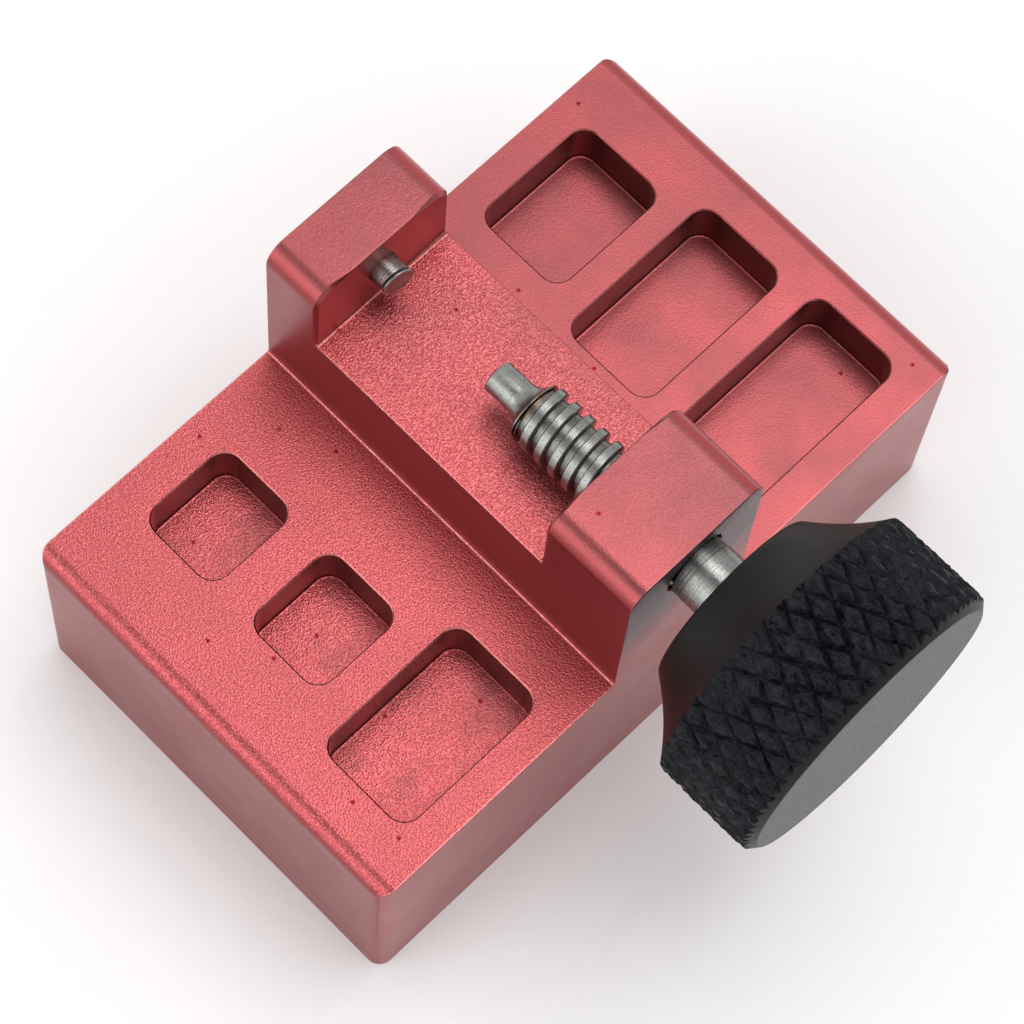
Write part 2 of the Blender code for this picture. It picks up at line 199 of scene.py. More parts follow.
finish_modifier(block, "BEVEL", width=edge_break, segments=2, limit_method="ANGLE", angle_limit=math.radians(50),
                use_clamp_overlap=False, material=1)
# The far top edge of the rib keeps the plain finish, without the pale edge and its painted highlight.
for face in block.data.polygons:
    if abs(face.center.y - rib_half_width) < edge_break:
        face.material_index = 0


pocket_depth = 0.0053
pocket_corner = 0.00175
pocket_rim = 0.00013
pocket_foot = 0.00025
pocket_pitch = 0.0131
deck_middle = (rib_half_width + block_half_width) / 2
short_deck_pockets = [(0.0088, 0.0099), (0.0088, 0.0099), (0.0102, 0.0163)]
long_deck_pockets = [(0.0100, 0.0135), (0.0100, 0.0179), (0.0100, 0.0198)]


def end_mill_pocket(centre, length, width):
    """The space that an end mill sweeps: round corners, a chamfered rim and a small radius at the floor."""
    bpy.ops.mesh.primitive_plane_add(size=1, location=(centre[0], centre[1], deck_top + 0.001),
                                     rotation=(math.pi, 0, 0))
    cutter = name_new_piece("pocket_cutter")
    cutter.scale = (length + 2 * pocket_rim, width + 2 * pocket_rim, 1)
    bake_place(cutter)
    bpy.ops.object.mode_set(mode="EDIT")
    bpy.ops.mesh.select_mode(type="FACE")
    bpy.ops.mesh.select_all(action="SELECT")
    bpy.ops.mesh.bevel(offset=pocket_corner + pocket_rim, segments=10, profile=0.5, affect="VERTICES")
    bpy.ops.mesh.select_all(action="SELECT")
    bpy.ops.mesh.extrude_region_move(TRANSFORM_OT_translate={"value": (0, 0, -0.001)})
    bpy.ops.mesh.inset(thickness=pocket_rim, depth=pocket_rim)
    bpy.ops.mesh.extrude_region_move(
        TRANSFORM_OT_translate={"value": (0, 0, pocket_rim + pocket_foot - pocket_depth)})
    bpy.ops.mesh.inset(thickness=0.3 * pocket_foot, depth=0.7 * pocket_foot)
    bpy.ops.mesh.inset(thickness=0.7 * pocket_foot, depth=0.3 * pocket_foot)
    bpy.ops.object.mode_set(mode="OBJECT")
    for face in cutter.data.polygons:
        lies_on_rim = deck_top - pocket_rim < face.center.z < deck_top
        face.material_index = 1 if lies_on_rim and abs(face.normal.z) > 0.3 else 0
    return cutter


def close_and_face_out(piece):
    """Cap open ends and point every face outwards."""
    work_on(piece)
    bpy.ops.object.mode_set(mode="EDIT")
    bpy.ops.mesh.select_mode(type="EDGE")
    bpy.ops.mesh.select_all(action="SELECT")
    bpy.ops.mesh.remove_doubles(threshold=1e-7)
    bpy.ops.mesh.select_all(action="DESELECT")
    bpy.ops.mesh.select_non_manifold(extend=False)
    bpy.ops.mesh.fill_holes(sides=0)
    bpy.ops.mesh.select_all(action="SELECT")
    bpy.ops.mesh.normals_make_consistent(inside=False)
    bpy.ops.object.mode_set(mode="OBJECT")


for side, pockets in ((-1, short_deck_pockets), (1, long_deck_pockets)):
    for column, (length, width) in enumerate(pockets):
        cutter = end_mill_pocket(((column - 1) * pocket_pitch, side * deck_middle), length, width)
        close_and_face_out(cutter)
        combine(block, cutter, "DIFFERENCE")


def turn_on_lathe(name, outline, sides):
    """Turn a solid round the screw's axis from (x, radius) points, by extruding and scaling a disc."""
    first_x, first_radius = outline[0]
    bpy.ops.mesh.primitive_circle_add(vertices=sides, radius=first_radius, fill_type="NGON",
                                      location=(first_x, 0, axis_height), rotation=(0, math.pi / 2, 0))
    piece = name_new_piece(name)
    bake_place(piece)
    bpy.ops.object.mode_set(mode="EDIT")
    bpy.ops.mesh.select_mode(type="FACE")
    bpy.ops.mesh.select_all(action="SELECT")
    for (last_x, last_radius), (next_x, next_radius) in zip(outline, outline[1:]):
        bpy.ops.mesh.extrude_region_move(TRANSFORM_OT_translate={"value": (next_x - last_x, 0, 0)})
        change = next_radius / last_radius
        bpy.ops.transform.resize(value=(1, change, change), center_override=(next_x, 0, axis_height))
    bpy.ops.object.mode_set(mode="OBJECT")
    close_and_face_out(piece)
    return piece


thread_pitch = 0.00162
thread_radius = 0.0030
thread_root = 0.0024
thread_crest = 0.00086
thread_start = 0.00310


def thread_outline(crest_radius, root_radius, crest_width, flank, softening):
    """One pitch of the thread as (x, radius) steps, from the start of its crest."""
    root_width = thread_pitch - crest_width - 2 * flank
    return [(0, crest_radius - softening), (softening, crest_radius),
            (crest_width - softening, crest_radius), (crest_width, crest_radius - softening),
            (crest_width + flank, root_radius), (crest_width + flank + root_width, root_radius)]


def helix_rod(name, outline, crest_x, start, end, sides):
    """A threaded rod: the drawn outline is swept once round the axis with an advance of one pitch."""
    turns_before = math.ceil((crest_x - start) / thread_pitch) + 1
    turn_count = math.ceil((end - start) / thread_pitch) + 3
    origin = crest_x - turns_before * thread_pitch
    points = [(origin + turn * thread_pitch + x, radius) for turn in range(turn_count) for x, radius in outline]
    bpy.ops.mesh.primitive_plane_add(size=0.001)
    rod = name_new_piece(name)
    bpy.ops.object.mode_set(mode="EDIT")
    bpy.ops.mesh.select_mode(type="VERT")
    bpy.ops.mesh.select_all(action="SELECT")
    bpy.ops.mesh.merge(type="CENTER")
    first_x, first_radius = points[0]
    bpy.ops.transform.translate(value=(first_x, first_radius, axis_height))
    for (last_x, last_radius), (next_x, next_radius) in zip(points, points[1:]):
        bpy.ops.mesh.extrude_vertices_move(
            TRANSFORM_OT_translate={"value": (next_x - last_x, next_radius - last_radius, 0)})
    bpy.ops.mesh.select_all(action="SELECT")
    bpy.ops.transform.translate(value=(0, 0, -axis_height))
    bpy.ops.object.mode_set(mode="OBJECT")
    finish_modifier(rod, "SCREW", axis="X", angle=2 * math.pi, screw_offset=thread_pitch, steps=sides,
                    render_steps=sides, use_merge_vertices=False)
    bpy.ops.object.mode_set(mode="EDIT")
    bpy.ops.mesh.select_all(action="SELECT")
    bpy.ops.mesh.remove_doubles(threshold=2e-6)
    bpy.ops.transform.translate(value=(0, 0, axis_height))
    bpy.ops.mesh.select_all(action="SELECT")
    bpy.ops.mesh.bisect(plane_co=(start, 0, 0), plane_no=(1, 0, 0), use_fill=True, clear_inner=True)
    bpy.ops.mesh.select_all(action="SELECT")
    bpy.ops.mesh.bisect(plane_co=(end, 0, 0), plane_no=(1, 0, 0), use_fill=True, clear_outer=True)
    bpy.ops.object.mode_set(mode="OBJECT")
    close_and_face_out(rod)
    return rod


counterbore_radius = 0.0032
counterbore_start = block_half_length - 0.0048
hole_chamfer = 0.0003
cut_past = 0.0005
tap_gap = 0.0001

counterbore = turn_on_lathe("counterbore_cutter", [
    (counterbore_start, thread_radius), (counterbore_start, counterbore_radius),
    (block_half_length - 0.0001, counterbore_radius), (block_half_length + cut_past, counterbore_radius + 0.0006)], 96)
combine(block, counterbore, "DIFFERENCE")
countersink = turn_on_lathe("countersink_cutter", [
    (screw_post_face - cut_past, thread_radius + hole_chamfer + cut_past),
    (screw_post_face + hole_chamfer + 0.0006, thread_root)], 96)
combine(block, countersink, "DIFFERENCE")
tap = helix_rod("tap", thread_outline(thread_radius + tap_gap, thread_root + tap_gap, thread_crest + 0.0001,
                                      0.00008, 0.00001),
                thread_start - 0.00005, screw_post_face - cut_past, counterbore_start + cut_past, 64)
combine(block, tap, "DIFFERENCE")
pin_radius = 0.0015
pin_hole = turn_on_lathe("pin_hole_cutter", [
    (-block_half_length - cut_past, pin_radius + 0.00003), (pin_post_face + cut_past, pin_radius + 0.00003)], 96)
combine(block, pin_hole, "DIFFERENCE")


def shade(piece):
    """Smooth shading that keeps real corners crisp and large faces flat."""
    work_on(piece)
    bpy.ops.object.shade_smooth_by_angle(angle=math.radians(35))
    finish_modifier(piece, "WEIGHTED_NORMAL", weight=100, keep_sharp=True)


shade(block)


def new_finish(name, colour, metallic, roughness):
    """A Principled material with Object coordinates ready; returns it with its nodes, links and shader."""
    material = bpy.data.materials.new(name)
    material.use_nodes = True
    nodes, links = material.node_tree.nodes, material.node_tree.links
    shader = nodes["Principled BSDF"]
    shader.inputs["Base Color"].default_value = (*colour, 1)
    shader.inputs["Metallic"].default_value = metallic
    shader.inputs["Roughness"].default_value = roughness
    place = nodes.new("ShaderNodeTexCoord").outputs["Object"]
    return material, nodes, links, shader, place


def noise(nodes, links, place, scale, detail=2.0, roughness=0.5):
    texture = nodes.new("ShaderNodeTexNoise")
    texture.inputs["Scale"].default_value = scale
    texture.inputs["Detail"].default_value = detail
    texture.inputs["Roughness"].default_value = roughness
    links.new(place, texture.inputs["Vector"])
    return texture.outputs["Fac"]


def ramp(nodes, links, value, low, high, start=0.0, end=1.0):
    """Stretch a value between two limits, clamped."""
    stretch = nodes.new("ShaderNodeMapRange")
    stretch.inputs["From Min"].default_value = low
    stretch.inputs["From Max"].default_value = high
    stretch.inputs["To Min"].default_value = start
    stretch.inputs["To Max"].default_value = end
    links.new(value, stretch.inputs["Value"])
    return stretch.outputs["Result"]


def blend_colours(nodes, links, share, first, second):
    """Mix two colours, each a plain colour or another node's output, by a share from 0 to 1."""
    mix = nodes.new("ShaderNodeMix")
    mix.data_type = "RGBA"
    links.new(share, mix.inputs["Factor"])
    for socket, colour in ((mix.inputs["A"], first), (mix.inputs["B"], second)):
        if isinstance(colour, tuple):
            socket.default_value = (*colour, 1)
        else:
            links.new(colour, socket)
    return mix.outputs["Result"]


def calculate(nodes, links, operation, first, second=None):
    """One Math node on outputs or plain numbers."""
    math_node = nodes.new("ShaderNodeMath")
    math_node.operation = operation
    for socket, value in zip(math_node.inputs, (first, second)):
        if isinstance(value, (int, float)):
            socket.default_value = value
        elif value is not None:
            links.new(value, socket)
    return math_node.outputs["Value"]


def bump(nodes, links, shader, height, distance, strength=1.0):
    """Raise the surface by a height, on top of any bump that is already there."""
    raised = nodes.new("ShaderNodeBump")
    raised.inputs["Distance"].default_value = distance
    if isinstance(strength, (int, float)):
        raised.inputs["Strength"].default_value = strength
    else:
        links.new(strength, raised.inputs["Strength"])
    links.new(height, raised.inputs["Height"])
    if shader.inputs["Normal"].is_linked:
        links.new(shader.inputs["Normal"].links[0].from_socket, raised.inputs["Normal"])
    links.new(raised.outputs["Normal"], shader.inputs["Normal"])


def red_anodising(name, colour, glint_colour, pit_shade_colour, shaded_colour, roughness, grain_depth):
    """Bead-blasted red anodising: pitted grain, uneven dye, stains, dark specks, painted glints, shade and a
    reflection.
    """
    material, nodes, links, shader, place = new_finish(name, colour, 1.0, roughness)
    shader.inputs["Coat Roughness"].default_value = 0.38
    shader.inputs["Coat IOR"].default_value = 1.6
    axes = nodes.new("ShaderNodeSeparateXYZ")
    links.new(place, axes.inputs["Vector"])
    facing = nodes.new("ShaderNodeSeparateXYZ")
    links.new(nodes.new("ShaderNodeTexCoord").outputs["Normal"], facing.inputs["Vector"])
    upward = ramp(nodes, links, facing.outputs["Z"], 0.1, 0.8, 0.12, 1.0)
    # Masks that weaken the painted grain glints, the grain's pit shade and its bump on the far deck and the post tops.
    far_side = ramp(nodes, links, axes.outputs["Y"], 0.006, 0.010, 1.0, 0.32)
    post_side = ramp(nodes, links, axes.outputs["Z"], 0.0412, 0.0425, 1.0, 0.38)
    quietness = calculate(nodes, links, "MULTIPLY", far_side, post_side)
    coarseness = calculate(nodes, links, "MULTIPLY", upward, quietness)

    grain = noise(nodes, links, place, 6000, 1.0, 0.5)
    pits = noise(nodes, links, place, 3000, 0.6, 0.5)
    clouds = noise(nodes, links, place, 120, 3.0, 0.6)
    # The grain is real, but its colour paints light: pale glints on its tips and shade in its pits, strongest on the
    # near deck.
    grain_glints = calculate(nodes, links, "MULTIPLY", ramp(nodes, links, grain, 0.48, 0.70, 0.0, 0.6), coarseness)
    grain_glints = calculate(nodes, links, "MULTIPLY", grain_glints, quietness)
    grain_pit_shade = calculate(nodes, links, "MULTIPLY", ramp(nodes, links, grain, 0.50, 0.30, 0.0, 0.6), coarseness)
    # Uneven dye in clouds on the tops, plus painted shade: darker towards the far side (+Y) and on the post tops.
    dye_clouds_and_painted_shade = calculate(nodes, links, "MULTIPLY", ramp(nodes, links, axes.outputs["Y"], -0.0085, 0.009, 0.15, 1.1),
                             clouds)
    dye_clouds_and_painted_shade = calculate(nodes, links, "ADD", dye_clouds_and_painted_shade, ramp(nodes, links, post_side, 1.0, 0.38, 0.0, 0.45))
    dye_clouds_and_painted_shade = calculate(nodes, links, "MULTIPLY", dye_clouds_and_painted_shade, upward)
    dye = blend_colours(nodes, links, dye_clouds_and_painted_shade, colour, (0.22, 0.05, 0.055))
    # Painted shade: faces turned to the front (-Y) and to the +X end are darkened.
    near_face_shade = ramp(nodes, links, facing.outputs["Y"], -0.5, -0.9, 0.0, 0.6)
    side_face_shade = calculate(nodes, links, "ADD", near_face_shade, ramp(nodes, links, facing.outputs["X"], 0.5, 0.9, 0.0, 0.35))
    dye = blend_colours(nodes, links, side_face_shade, dye, (0.20, 0.032, 0.035))
    dye = blend_colours(nodes, links, grain_glints, dye, glint_colour)
    dye = blend_colours(nodes, links, grain_pit_shade, dye, pit_shade_colour)

    stains = noise(nodes, links, place, 230, 4.0, 0.7)
    is_floor = calculate(nodes, links, "MULTIPLY",
                         ramp(nodes, links, axes.outputs["Z"], deck_top - 0.0045, deck_top - 0.0050),
                         ramp(nodes, links, axes.outputs["Y"], 0.0, -0.001, 0.25, 1.0))
    is_floor = calculate(nodes, links, "MULTIPLY", is_floor, ramp(nodes, links, facing.outputs["Z"], 0.8, 0.95))
    is_stained = calculate(nodes, links, "MULTIPLY", is_floor, ramp(nodes, links, stains, 0.48, 0.68, 0.0, 0.55))
    dye = blend_colours(nodes, links, is_stained, dye, (0.19, 0.04, 0.04))

    # Painted shade on the pocket walls, mottled by the stain noise.
    is_wall = ramp(nodes, links, facing.outputs["Z"], 0.5, 0.3)
    for axis, limit in (("X", block_half_length - 0.002), ("Y", block_half_width - 0.002), ("Z", deck_top)):
        distance = calculate(nodes, links, "ABSOLUTE", axes.outputs[axis])
        is_wall = calculate(nodes, links, "MULTIPLY", is_wall,
                            ramp(nodes, links, distance, limit + 0.0002, limit - 0.0002))
    pocket_wall_shade = calculate(nodes, links, "MULTIPLY", is_wall, ramp(nodes, links, stains, 0.35, 0.65, 0.55, 0.95))
    dye = blend_colours(nodes, links, pocket_wall_shade, dye, (0.11, 0.023, 0.020))

    # Painted reflection of the black knob on the screw post's outer end face, broken up by the pit noise.
    knob_reflection = calculate(nodes, links, "MULTIPLY",
                          ramp(nodes, links, axes.outputs["X"], block_half_length - 0.0002, block_half_length),
                          ramp(nodes, links, axes.outputs["Z"], rib_top - 0.006, rib_top + 0.001, 0.0, 0.96))
    knob_reflection = calculate(nodes, links, "MULTIPLY", knob_reflection, ramp(nodes, links, pits, 0.35, 0.6, 0.7, 1.0))
    dye = blend_colours(nodes, links, knob_reflection, dye, (0.045, 0.046, 0.056))

    specks = nodes.new("ShaderNodeTexVoronoi")
    specks.voronoi_dimensions = "2D"
    specks.inputs["Scale"].default_value = 210
    links.new(place, specks.inputs["Vector"])
    chance = nodes.new("ShaderNodeSeparateColor")
    links.new(specks.outputs["Color"], chance.inputs["Color"])
    is_speck = calculate(nodes, links, "MULTIPLY",
                         ramp(nodes, links, specks.outputs["Distance"], 0.058, 0.022),
                         ramp(nodes, links, chance.outputs["Red"], 0.70, 0.80))
    is_speck = calculate(nodes, links, "MULTIPLY", is_speck, ramp(nodes, links, facing.outputs["Z"], 0.8, 0.95))
    dye = blend_colours(nodes, links, is_speck, dye, (0.20, 0.004, 0.014))
    # Painted shade: faces turned away towards the far side (+Y) take the shaded colour.
    dye = blend_colours(nodes, links, ramp(nodes, links, facing.outputs["Y"], 0.15, 0.45), dye, shaded_colour)
    links.new(dye, shader.inputs["Base Color"])
    links.new(ramp(nodes, links, clouds, 0.3, 0.75, roughness - 0.04, roughness + 0.05), shader.inputs["Roughness"])
    clear_share = calculate(nodes, links, "MULTIPLY", ramp(nodes, links, is_speck, 0.0, 1.0, 0.5, 0.05),
                            ramp(nodes, links, side_face_shade, 0.0, 0.6, 1.0, 0.35))
    clear_share = calculate(nodes, links, "MULTIPLY", clear_share, ramp(nodes, links, knob_reflection, 0.0, 1.0, 1.0, 0.2))
    links.new(clear_share, shader.inputs["Coat Weight"])

    bump(nodes, links, shader, pits, 0.5 * grain_depth, coarseness)
    bump(nodes, links, shader, grain, grain_depth, coarseness)
    links.new(shader.inputs["Normal"].links[0].from_socket, shader.inputs["Coat Normal"])
    return material


red_finish = red_anodising("red_anodising", (0.43, 0.064, 0.069), (0.66, 0.165, 0.172), (0.27, 0.014, 0.022),
                           (0.42, 0.05, 0.056), 0.37, 0.000045)
# Paler red for the edges: partly real wear at the corners, partly a painted highlight, above all on the foot fillets.
pale_edge_and_highlight = red_anodising("pale_red_edge_and_painted_highlight", (0.60, 0.17, 0.165), (0.70, 0.27, 0.25), (0.46, 0.08, 0.08),
                            (0.16, 0.012, 0.014), 0.36, 0.00003)
block.data.materials[0] = red_finish
block.data.materials[1] = pale_edge_and_highlight
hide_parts("block")
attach(block, "block")


# ---------------------------------------------------------------- fixed pin
# A short steel pin, pressed through the thin post. Its end is ground on a slant, and a groove behind the lip
# gives the movement's edge a seat.
pin_tip = -0.0132
pin_lip_radius = 0.0016
pin_lip_length = 0.0002
pin_groove_length = 0.00025
pin_slant = 0.14


def steel_finish(name, colour, roughness, mark_depth, stain_start, stain_end, root_shade_radius, dark_stretch_start, dark_stretch_end):
    """Turned steel: tool rings, mottled grain, painted shade below a radius, and a brown and a darker stretch along X.
    """
    material, nodes, links, shader, place = new_finish(name, colour, 1.0, roughness)
    axes = nodes.new("ShaderNodeSeparateXYZ")
    links.new(place, axes.inputs["Vector"])
    height = calculate(nodes, links, "SUBTRACT", axes.outputs["Z"], axis_height)
    reach = calculate(nodes, links, "SQRT", calculate(
        nodes, links, "ADD", calculate(nodes, links, "POWER", axes.outputs["Y"], 2.0),
        calculate(nodes, links, "POWER", height, 2.0)))
    along = calculate(nodes, links, "ADD", axes.outputs["X"], calculate(nodes, links, "MULTIPLY", reach, 1.3))
    rings = nodes.new("ShaderNodeTexNoise")
    rings.noise_dimensions = "1D"
    rings.inputs["Scale"].default_value = 9000
    rings.inputs["Detail"].default_value = 2
    links.new(along, rings.inputs["W"])
    grain = noise(nodes, links, place, 4200, 2.0)
    clouds = noise(nodes, links, place, 700, 4.0, 0.65)
    metal = blend_colours(nodes, links, ramp(nodes, links, clouds, 0.25, 0.8), colour,
                          tuple(0.75 * part for part in colour))
    metal = blend_colours(nodes, links, ramp(nodes, links, grain, 0.50, 0.30, 0.0, 0.6), metal,
                          tuple(0.40 * part for part in colour))
    metal = blend_colours(nodes, links, ramp(nodes, links, rings.outputs["Fac"], 0.52, 0.35, 0.0, 0.3), metal,
                          tuple(0.35 * part for part in colour))
    # Painted shade in the thread roots and the pin's groove, below the given radius.
    root_shade = calculate(nodes, links, "MULTIPLY", ramp(nodes, links, reach, root_shade_radius + 0.00012, root_shade_radius),
                      ramp(nodes, links, clouds, 0.25, 0.6, 0.1, 0.5))
    metal = blend_colours(nodes, links, root_shade, metal, (0.055, 0.05, 0.045))
    # Darker from a given point along X and fading away from it; on the pin and the shank that point is where they leave
    # the post.
    dark_stretch = calculate(nodes, links, "MULTIPLY",
                    ramp(nodes, links, axes.outputs["X"], dark_stretch_start - 0.0004, dark_stretch_start),
                    ramp(nodes, links, axes.outputs["X"], dark_stretch_end, dark_stretch_start, 0.0, 0.85))
    dark_stretch = calculate(nodes, links, "MULTIPLY", dark_stretch, ramp(nodes, links, clouds, 0.2, 0.5, 0.5, 1.0))
    metal = blend_colours(nodes, links, dark_stretch, metal, (0.035, 0.033, 0.03))
    stretch = calculate(nodes, links, "MULTIPLY",
                        ramp(nodes, links, axes.outputs["X"], stain_start - 0.0003, stain_start + 0.0003),
                        ramp(nodes, links, axes.outputs["X"], stain_end + 0.0003, stain_end - 0.0003))
    stain = calculate(nodes, links, "MULTIPLY", stretch, ramp(nodes, links, clouds, 0.38, 0.55))
    metal = blend_colours(nodes, links, stain, metal, (0.17, 0.10, 0.06))
    links.new(metal, shader.inputs["Base Color"])
    links.new(ramp(nodes, links, clouds, 0.3, 0.7, roughness - 0.03, roughness + 0.05), shader.inputs["Roughness"])
    bump(nodes, links, shader, grain, 0.00001)
    bump(nodes, links, shader, rings.outputs["Fac"], mark_depth)
    return material


groove_end = pin_tip - pin_lip_length
groove_middle = groove_end - pin_groove_length / 2
groove_start = groove_end - pin_groove_length
fixed_pin = turn_on_lathe("steel_fixed_pin", [
    (-block_half_length, pin_radius - 0.0001), (-block_half_length + 0.0001, pin_radius),
    (pin_post_face, pin_radius), (groove_start, pin_radius), (groove_middle, pin_radius - 0.00022),
    (groove_end, pin_lip_radius - 0.00005), (groove_end + 0.00005, pin_lip_radius),
    (pin_tip - 0.00006, pin_lip_radius), (pin_tip, pin_lip_radius - 0.00006)], 96)
for vertex in fixed_pin.data.vertices:
    if vertex.co.x > groove_start - 1e-6:
        vertex.co.x += pin_slant * (vertex.co.y - pin_lip_radius)
shade(fixed_pin)
fixed_pin.data.materials.append(steel_finish("turned_steel_pin", (0.38, 0.38, 0.36), 0.28, 0.000012,
                                             pin_post_face - 0.0005, pin_post_face + 0.0003, 0.0013,
                                             pin_post_face - 0.0001, pin_post_face + 0.0007))
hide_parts("fixed_pin")
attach(fixed_pin, "block")


# ---------------------------------------------------------------- screw
# The steel screw that the knob turns: a coarse, nearly square thread, then a plain shank. It is turned from
# one bar, and its front end is bored for the nose.
collar_radius = 0.0027
screw_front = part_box("spindle")[0].x
shank_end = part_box("spindle")[1].x
run_out = block_half_length + 0.0003
relief_length = 0.00075
relief_radius = 0.00293
shank_radius = 0.0030
spigot_radius = 0.0013
spigot_length = 0.0042

screw = helix_rod("steel_screw", thread_outline(thread_radius, thread_root, thread_crest, 0.00010, 0.00009),
                  thread_start, screw_front - 0.0002, run_out + 0.0004, 96)
turned_bar = turn_on_lathe("turned_bar", [
    (screw_front, collar_radius - 0.0001), (screw_front + 0.0001, collar_radius),
    (thread_start, collar_radius), (thread_start + 0.0002, thread_radius + 0.0002),
    (run_out, thread_radius + 0.0002), (run_out, relief_radius - 0.0003), (run_out + 0.0002, relief_radius - 0.0003)],
    96)
combine(screw, turned_bar, "INTERSECT")
shank = turn_on_lathe("shank", [
    (run_out - 0.0002, relief_radius - 0.0004), (run_out, relief_radius - 0.0004), (run_out, relief_radius),
    (run_out + relief_length, relief_radius), (run_out + relief_length, shank_radius - 0.00005),
    (run_out + relief_length + 0.00005, shank_radius), (shank_end, shank_radius)], 96)
combine(screw, shank, "UNION")
bore = turn_on_lathe("bore_cutter", [
    (screw_front - cut_past, spigot_radius + 0.00006), (screw_front + spigot_length, spigot_radius + 0.00006)], 96)
combine(screw, bore, "DIFFERENCE")
shade(screw)
screw.data.materials.append(steel_finish("turned_steel_screw", (0.31, 0.315, 0.30), 0.27, 0.000015,
                                         screw_front - 0.0001, thread_start + 0.0001, thread_root + 0.00003,
                                         block_half_length - 0.0001, block_half_length + 0.0019))
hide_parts("spindle")
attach(screw, "screw")


# ---------------------------------------------------------------- nose
# The slim steel nose that meets the movement. It flares to a thin flange and turns freely on its spigot in
# the screw's end, so the movement isn't twisted while the knob is turned.
nose_low, nose_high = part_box("nose")
nose_tip_radius = 0.00155
nose_tip_length = 0.0026
flange_radius = 0.0028
flange_thickness = 0.00014
flare_radius = 0.0019
edge_chamfer = 0.00015


def cove(start_x, start_radius, radius, start_angle, end_angle, steps):
    """Points along a hollow turned curve whose centre stands off the surface."""
    centre_x = start_x - radius * math.cos(start_angle)
    centre_radius = start_radius - radius * math.sin(start_angle)
    angles = [start_angle + (end_angle - start_angle) * step / steps for step in range(steps + 1)]
    return [(centre_x + radius * math.cos(angle), centre_radius + radius * math.sin(angle)) for angle in angles]


nose_tip = nose_low.x
flare_start = nose_tip + nose_tip_length
flare_turn = math.acos(1 - (flange_radius - nose_tip_radius) / flare_radius)
flare = cove(flare_start, nose_tip_radius, flare_radius, -math.pi / 2, flare_turn - math.pi / 2, 14)
flange_x = flare[-1][0]
nose = turn_on_lathe("steel_nose", [
    (nose_tip, nose_tip_radius - edge_chamfer), (nose_tip + 0.4 * edge_chamfer, nose_tip_radius - 0.3 * edge_chamfer),
    (nose_tip + edge_chamfer, nose_tip_radius)] + flare + [
    (flange_x + flange_thickness - 0.00003, flange_radius),
    (flange_x + flange_thickness, flange_radius - 0.00003), (flange_x + flange_thickness, spigot_radius),
    (nose_high.x - edge_chamfer, spigot_radius), (nose_high.x, spigot_radius - edge_chamfer)], 96)
shade(nose)
nose.data.materials.append(steel_finish("turned_steel_nose", (0.33, 0.34, 0.32), 0.29, 0.000014,
                                        flange_x - 0.0001, flange_x + 0.0005, 0.0,
                                        flange_x, flange_x + 0.0001))
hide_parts("nose")
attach(nose, "nose")


# ---------------------------------------------------------------- retaining ring
# An open ring of drawn spring wire, hidden in the grooves of the spigot and the bore. Its CAD shape is right,
# so it only gets its finish.
wire_material, wire_nodes, wire_links, wire_shader, wire_place = new_finish(
    "drawn_spring_wire", (0.33, 0.33, 0.34), 1.0, 0.35)
wire_clouds = noise(wire_nodes, wire_links, wire_place, 2500, 3.0)
wire_links.new(blend_colours(wire_nodes, wire_links, wire_clouds, (0.38, 0.38, 0.39), (0.22, 0.21, 0.21)),
               wire_shader.inputs["Base Color"])
bump(wire_nodes, wire_links, wire_shader, wire_clouds, 0.00001)
nose_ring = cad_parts["nose_ring"]
nose_ring.data.materials.clear()
nose_ring.data.materials.append(wire_material)


# ---------------------------------------------------------------- knob
# An aluminium knob, turned with a hollowed hub, knurled in diamonds with a pair of 30 degree wheels, chamfered
# and black anodised. It is pressed onto the shank.
knob_low, knob_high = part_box("knob")
hub_face = knob_low.x
knob_face = knob_high.x
knob_radius = knob_high.y
hub_radius = 0.0086
hub_length = 0.0057
hub_cove_radius = 0.0220
knob_chamfer_length = 0.0008
knob_chamfer_depth = 0.00095
diamond_count = 40
diamond_length = 0.0040
diamond_row_x = 0.0338
diamond_angle = math.radians(89.7)
knurl_depth = 0.00034
torn_depth = 0.00030
groove_half_width = 0.00036

grip_start = hub_face + hub_length
hub_rise = knob_radius - hub_radius
hub_slope = math.atan2(hub_rise, hub_length)
hub_half_sweep = math.asin(math.hypot(hub_length, hub_rise) / (2 * hub_cove_radius))
hub_start_angle = hub_slope - hub_half_sweep - math.pi / 2
hub_outline = cove(hub_face, hub_radius, hub_cove_radius, hub_start_angle,
                   hub_start_angle + 2 * hub_half_sweep, 20)[1:]
knob = turn_on_lathe("black_knob", [
    (hub_face + 0.0115, shank_radius + 0.00003), (hub_face, shank_radius + 0.00003), (hub_face, hub_radius - 0.0001),
    (hub_face + 0.00008, hub_radius + 0.00002)]
    + hub_outline + [
    (grip_start + 0.00015, knob_radius + 0.0002),
    (knob_face - 1.2 * knob_chamfer_length, knob_radius + 0.2 * knob_chamfer_depth),
    (knob_face - 0.00005, knob_radius - knob_chamfer_depth + 0.00003),
    (knob_face, knob_radius - knob_chamfer_depth - 0.00005)], 180)
bpy.ops.object.material_slot_add()
bpy.ops.object.material_slot_add()

